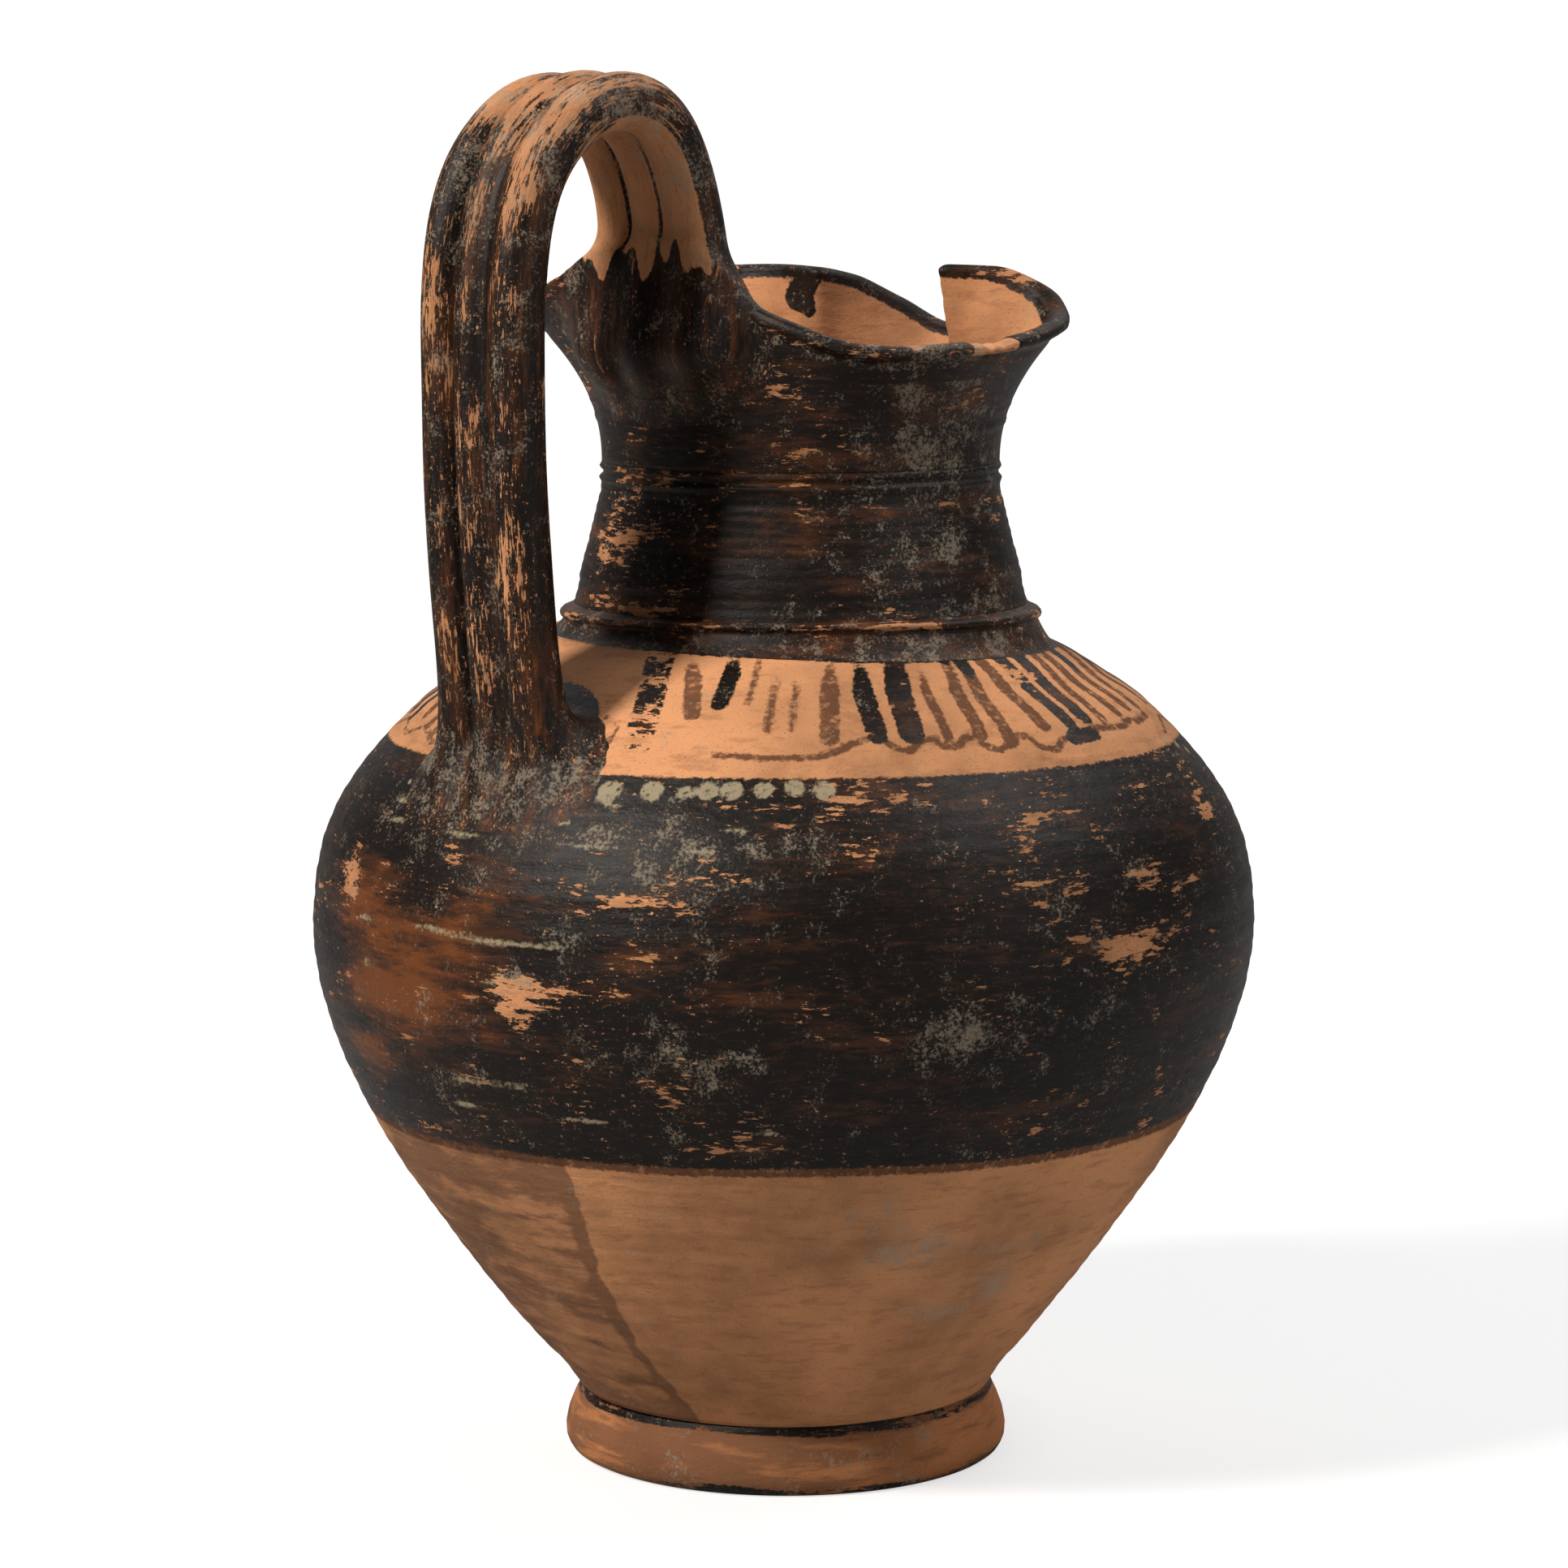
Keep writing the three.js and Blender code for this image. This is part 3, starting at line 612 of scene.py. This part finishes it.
# ------------------------------------------------------------------------ handle
H = 0.75
gx = np.arange(-96, -18, H); gy = np.arange(-31, 31, H); gz = np.arange(118, 271, H)
path = HANDLE.copy()
tt = np.r_[0, np.cumsum(np.hypot(*np.diff(path, axis=0).T))]
sm = np.linspace(0, tt[-1], 700)
px = -hermite(tt, path[:, 0], sm); pz = hermite(tt, path[:, 1], sm)
ker = np.ones(41) / 41
px = np.convolve(np.pad(px, 20, mode="reflect", reflect_type="odd"), ker, "valid")
pz = np.convolve(np.pad(pz, 20, mode="reflect", reflect_type="odd"), ker, "valid")
tx = np.gradient(px); tz = np.gradient(pz); tl = np.hypot(tx, tz); tx /= tl; tz /= tl


def along(x, z):
    """Nearest point of the handle line: index and signed offset (+ is the outer side)."""
    q = np.stack([x, z], 1)
    k = np.empty(len(q), int)
    for i in range(0, len(q), 4000):
        c = q[i:i + 4000]
        k[i:i + 4000] = np.argmin((c[:, :1] - px[None]) ** 2 + (c[:, 1:] - pz[None]) ** 2, axis=1)
    off = -(q[:, 0] - px[k]) * tz[k] + (q[:, 1] - pz[k]) * tx[k]
    dist = np.hypot(q[:, 0] - px[k], q[:, 1] - pz[k])
    return k, np.sign(off) * dist


GX, GZ = np.meshgrid(gx, gz, indexing="ij")
K, D = along(GX.ravel(), GZ.ravel())
K = K.reshape(GX.shape); D = D.reshape(GX.shape)
sl_ = sm[K]


def smin(a, b, k):
    h = np.clip(0.5 + 0.5 * (b - a) / k, 0, 1)
    return b * (1 - h) + a * h - k * h * (1 - h)


yy = gy[None, :, None]
Dg = D[:, None, :]
lat = 0.5 * np.sin(sl_ / 47.0)[:, None, :]
flare = (1 + 0.28 * np.exp(-(sl_ / 14.0) ** 2) + 0.34 * np.exp(-((tt[-1] - sl_) / 16.0) ** 2))[:, None, :]
Fh = None
for off, aw_, bt in ((-8.9, 4.75, 5.5), (0.0, 4.6, 5.8), (8.9, 4.6, 5.6)):
    wv = 0.12 * np.sin(sl_ / 9.0 + off)[:, None, :]
    q = np.sqrt(((yy - off * flare - lat) / (aw_ * flare)) ** 2 + ((Dg) / (bt * (0.6 + 0.4 * flare) + wv)) ** 2)
    d = (q - 1) * aw_ * 1.02
    Fh = d if Fh is None else smin(Fh, d, 3.4 if off == 0.0 else 0.9)
X3 = gx[:, None, None] + 0 * yy + 0 * gz[None, None, :]
Z3 = gz[None, None, :] + 0 * yy + 0 * X3
Y3 = yy + 0 * X3
rb = np.hypot(X3, Y3)
slope = np.gradient(body_r(gz), gz)[None, None, :]
db = (rb - np.where(Z3 < 160.6, body_r(gz)[None, None, :], 46.4)) / np.sqrt(1 + slope ** 2)
db = np.where(Z3 > 160.6, np.hypot(np.maximum(rb - 46.4, 0), Z3 - 160.6), db)
ra = np.hypot(X3 - NECK_C[0], Y3 - NECK_C[1])
th = np.degrees(np.arctan2(Y3 - NECK_C[1], X3 - NECK_C[0]))
thv = np.where(th < -180, th + 360, th)
Rr = rim_at(thv.ravel(), 1).reshape(th.shape); Zr = rim_at(thv.ravel(), 2).reshape(th.shape)
sn = np.clip((Z3 - NECK_TOP) / (Zr - NECK_TOP), 0, 1)
rneck = np.where(Z3 < NECK_TOP, hermite(NECK_OUT[:, 1], NECK_OUT[:, 0], np.clip(gz, 165.2, 193))[None, None, :], 38.2 + (Rr - 38.2) * sn ** 2.1)
dn_out = (ra - rneck) * 0.92
dn = np.where(Z3 > Zr + 1.0, np.maximum(np.maximum(dn_out, (rneck - 5 - ra)), Z3 - Zr - 1.0), np.maximum(dn_out, Z3 - Zr - 1.0))
dn = np.where(Z3 < 158, 20.0, dn)
inner_air = (rneck - 5.0) - ra          # > 0 inside the mouth's hollow
Fv = np.minimum(db, dn)
Fu = smin(Fh, db, 7.0)
Fu = np.minimum(smin(Fh, dn, 8.0), Fu)
Fp = np.maximum(Fu + 0.10, -(Fv) - 1.2)
Fp = np.maximum(Fp, Fh - 8.5)
Fp = np.where(Z3 < 230, np.maximum(Fp, np.minimum(inner_air + 0.8, 6.0) * np.where(X3 < -18, 1, 1)), Fp)
keep_up = (Z3 > 196) | (X3 < -52)
Fp = np.where(keep_up, Fp, np.maximum(Fp, 1.0))


def surface_nets(F, org, h):
    ins = F < 0
    c = ins[:-1, :-1, :-1].astype(np.int8)
    tot = np.zeros(c.shape, np.int8)
    for i in (0, 1):
        for j in (0, 1):
            for k in (0, 1):
                tot += ins[i:i + c.shape[0], j:j + c.shape[1], k:k + c.shape[2]]
    act = (tot > 0) & (tot < 8)
    I = np.argwhere(act)
    vid = -np.ones(act.shape, int); vid[act] = np.arange(len(I))
    acc = np.zeros((len(I), 3)); cnt = np.zeros(len(I))
    corners = [(i, j, k) for i in (0, 1) for j in (0, 1) for k in (0, 1)]
    for a_ in corners:
        for ax in range(3):
            if a_[ax]:
                continue
            b_ = list(a_); b_[ax] = 1
            fa = F[I[:, 0] + a_[0], I[:, 1] + a_[1], I[:, 2] + a_[2]]
            fb = F[I[:, 0] + b_[0], I[:, 1] + b_[1], I[:, 2] + b_[2]]
            x = (fa < 0) != (fb < 0)
            t = np.where(x, fa / np.where(fa - fb == 0, 1, fa - fb), 0)
            p = np.array(a_, float)[None].repeat(len(I), 0); p[:, ax] += t
            acc += p * x[:, None]; cnt += x
    V = (I + acc / np.maximum(cnt, 1)[:, None]) * h + np.array(org)
    Q = []
    for ax in range(3):
        u, v = (ax + 1) % 3, (ax + 2) % 3
        s0 = [slice(None)] * 3; s1 = [slice(None)] * 3
        s0[ax] = slice(0, -1); s1[ax] = slice(1, None)
        A, B = ins[tuple(s0)], ins[tuple(s1)]
        E = np.argwhere(A != B)
        E = E[(E[:, u] > 0) & (E[:, v] > 0) & (E[:, u] < F.shape[u] - 1) & (E[:, v] < F.shape[v] - 1)]
        flip = ins[E[:, 0], E[:, 1], E[:, 2]]
        q = []
        for du, dv in ((0, 0), (-1, 0), (-1, -1), (0, -1)):
            e = E.copy(); e[:, u] += du; e[:, v] += dv
            q.append(vid[e[:, 0], e[:, 1], e[:, 2]])
        q = np.stack(q, 1)
        q[~flip] = q[~flip][:, ::-1]
        Q.append(q)
    return V, np.concatenate(Q)


HV, HF = surface_nets(Fp, (gx[0], gy[0], gz[0]), H)
# smooth the lattice away
e = np.concatenate([HF[:, [0, 1]], HF[:, [1, 2]], HF[:, [2, 3]], HF[:, [3, 0]]])
for it in range(6):
    lam = 0.5 if it % 2 == 0 else -0.42
    acc = np.zeros_like(HV); cnt = np.zeros(len(HV))
    np.add.at(acc, e[:, 0], HV[e[:, 1]]); np.add.at(acc, e[:, 1], HV[e[:, 0]])
    np.add.at(cnt, e[:, 0], 1); np.add.at(cnt, e[:, 1], 1)
    HV = HV + lam * (acc / cnt[:, None] - HV)
k, d = along(HV[:, 0], HV[:, 2])
s_ = sm[k]
f = fields(HV)
f["flow"] = np.stack([s_ * 0.24, HV[:, 1] * 1.7, d * 1.7], 1)
topw = np.exp(-((s_ - sm[np.argmax(pz)]) / 32.0) ** 2)
f["slip"] = np.full(len(HV), 8.0)
past = s_ > sm[np.argmax(pz)] - 4
bare_z = 232.0 + 2.6 * np.sin(HV[:, 1] * 0.55) + 1.6 * np.sin(HV[:, 1] * 1.3 + 1.0)
inner_bare = np.minimum(np.minimum((-d - 2.6) * 1.2, (HV[:, 2] - bare_z) * 0.7), (s_ - sm[np.argmax(pz)] + 6 + 3 * np.sin(HV[:, 1])) * 0.5)
f["slip"] = np.where(past | (inner_bare > -2), np.clip(-inner_bare, -1.3, 8.0) + 2.0 * bump1(np.abs(np.abs(HV[:, 1]) - 4.4), 1.1) * (inner_bare > 0), f["slip"])
ridge = np.abs(((HV[:, 1] + 4.45) % 8.9) - 4.45)
f["wear"] = 0.95 * topw + 0.30 * bump1(ridge, 3.0) - 0.55 * bump1(4.45 - ridge, 1.6) + np.where(d > 3.0, 0.12, -0.1)
f["wear"] = f["wear"] + np.where(HV[:, 2] < 236, -0.5, 0) * (HV[:, 0] > -52)
f["red"] = np.full(len(HV), 0.25)
f["crust"] = 0.5 * bump1(np.abs(HV[:, 2] - 138), 14) + 0.55 * topw + 0.25
mesh_piece("strap_handle", HV, HF.tolist(), f, M_HANDLE,
           ["handle_rod_left", "handle_rod_middle", "handle_rod_right", "handle_lower_root", "handle_upper_root"])

# -------------------------------------------------------------------------- stage
me = bpy.data.meshes.new("floor")
prof_f = [(-2.6, 0.0), (1.2, 0.0), (1.6, 0.03), (1.95, 0.16), (2.2, 0.42), (2.3, 0.8), (2.3, 3.2)]
vv, ff = [], []
for y_, z_ in prof_f:
    for x_ in (-4.0, 4.0):
        vv.append((x_ * 0.682 + y_ * 0.7314, -x_ * 0.7314 + y_ * 0.682, z_))
for i in range(len(prof_f) - 1):
    ff.append((2 * i, 2 * i + 1, 2 * i + 3, 2 * i + 2))
me.from_pydata(vv, [], ff)
for p in me.polygons:
    p.use_smooth = True
floor = bpy.data.objects.new("floor", me)
bpy.context.collection.objects.link(floor)
fm = bpy.data.materials.new("pale_floor"); fm.use_nodes = True
fb = fm.node_tree.nodes["Principled BSDF"]
fb.inputs["Base Color"].default_value = (0.42, 0.42, 0.42, 1)
fb.inputs["Roughness"].default_value = 0.9
fb.inputs["Specular IOR Level"].default_value = 0.0
lp = fm.node_tree.nodes.new("ShaderNodeLightPath")
glow = fm.node_tree.nodes.new("ShaderNodeMath"); glow.operation = "MULTIPLY"; glow.inputs[1].default_value = 0.64
fm.node_tree.links.new(lp.outputs["Is Camera Ray"], glow.inputs[0])
fb.inputs["Emission Color"].default_value = (1, 1, 1, 1)
fm.node_tree.links.new(glow.outputs[0], fb.inputs["Emission Strength"])
me.materials.append(fm)

world = bpy.data.worlds.new("studio") if bpy.context.scene.world is None else bpy.context.scene.world
bpy.context.scene.world = world
world.use_nodes = True
bg = world.node_tree.nodes["Background"]
bg.inputs[0].default_value = (1.0, 1.0, 1.0, 1)
bg.inputs[1].default_value = 0.07


def area(name, u, v, z, size, power, target=(0, 0, 0.12), col=(1, 1, 1)):
    li = bpy.data.lights.new(name, "AREA")
    li.shape = "RECTANGLE"; li.size, li.size_y = size
    li.energy = power; li.color = col
    ob = bpy.data.objects.new(name, li)
    bpy.context.collection.objects.link(ob)
    x, y = u * 0.682 + v * 0.7314, -u * 0.7314 + v * 0.682
    ob.location = (x, y, z)
    import mathutils
    d = mathutils.Vector((target[0] - x, target[1] - y, target[2] - z))
    ob.rotation_euler = d.to_track_quat("-Z", "Y").to_euler()
    return ob


area("key", -0.95, -0.72, 1.15, (0.30, 0.30), 27.0, col=(1.0, 0.965, 0.92))
area("top", 0.70, -0.05, 1.10, (0.45, 0.45), 6.0)
area("fill", 1.1, -0.7, 0.5, (0.5, 0.8), 2.2)
area("back", 0.0, 1.5, 1.6, (3.0, 1.5), 24.0, target=(0.7314 * 1.9, 0.682 * 1.9, 0.6))

cam = bpy.data.cameras.new("camera")
cam.sensor_width = 36.0
cam.lens = 36.0 * CAM_F / 1932.0
cam.clip_end = 20
co = bpy.data.objects.new("camera", cam)
bpy.context.collection.objects.link(co)
co.location = tuple(CAM / 1000.0)
co.rotation_euler = (math.pi / 2 - PITCH, 0, AZ)
bpy.context.scene.camera = co
bpy.context.scene.view_settings.view_transform = "Standard"
bpy.context.scene.view_settings.look = "None"
